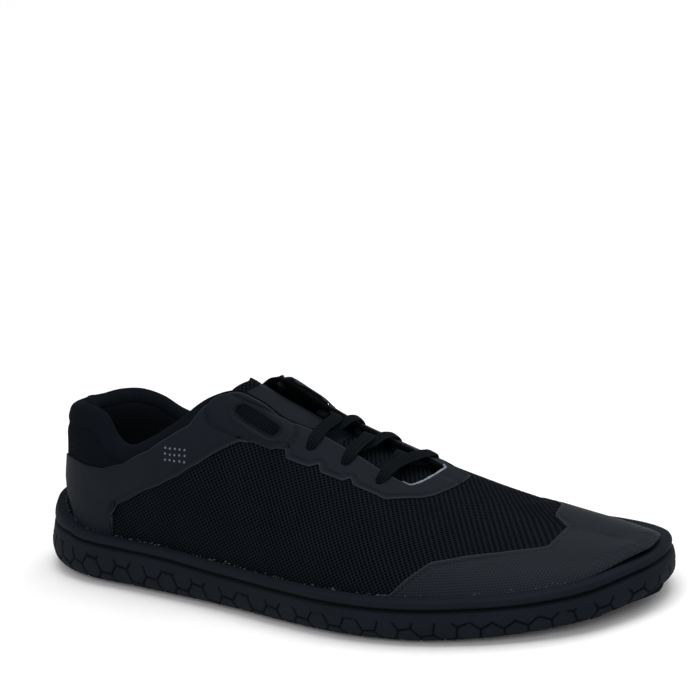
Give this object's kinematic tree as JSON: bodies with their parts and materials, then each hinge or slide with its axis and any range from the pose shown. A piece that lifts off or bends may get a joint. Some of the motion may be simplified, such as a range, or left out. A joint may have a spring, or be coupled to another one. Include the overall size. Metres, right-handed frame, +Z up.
{
  "type": "barefoot shoe",
  "caption": "Low barefoot shoe for the right foot with a cup sole, padded knit collar, bonded film saddle, toe cap and flat laces.",
  "frame": {"origin": "middle of the bounding box at floor level", "axes": "+X toward the toe, -Y toward the outer side of the right foot, +Z up"},
  "size_m": [0.286, 0.1096, 0.0856],
  "materials": {
    "mesh_fabric": "matte perforated mesh",
    "bonded_film": "satin film",
    "sole_rubber": "matte",
    "lining_foam": "matte",
    "flat_lace": "ribbed flat braid"
  },
  "bodies": {
    "root": {"upper": "mesh_fabric", "outsole": "sole_rubber", "insole": "lining_foam", "tongue": "mesh_fabric", "saddle_overlay": "bonded_film", "toe_cap": "bonded_film", "lace_bar": "flat_lace", "lace_crossing_1": "flat_lace", "lace_crossing_2": "flat_lace", "lace_crossing_3": "flat_lace", "lace_side_lateral": "flat_lace", "lace_side_medial": "flat_lace"}
  },
  "joints": []
}
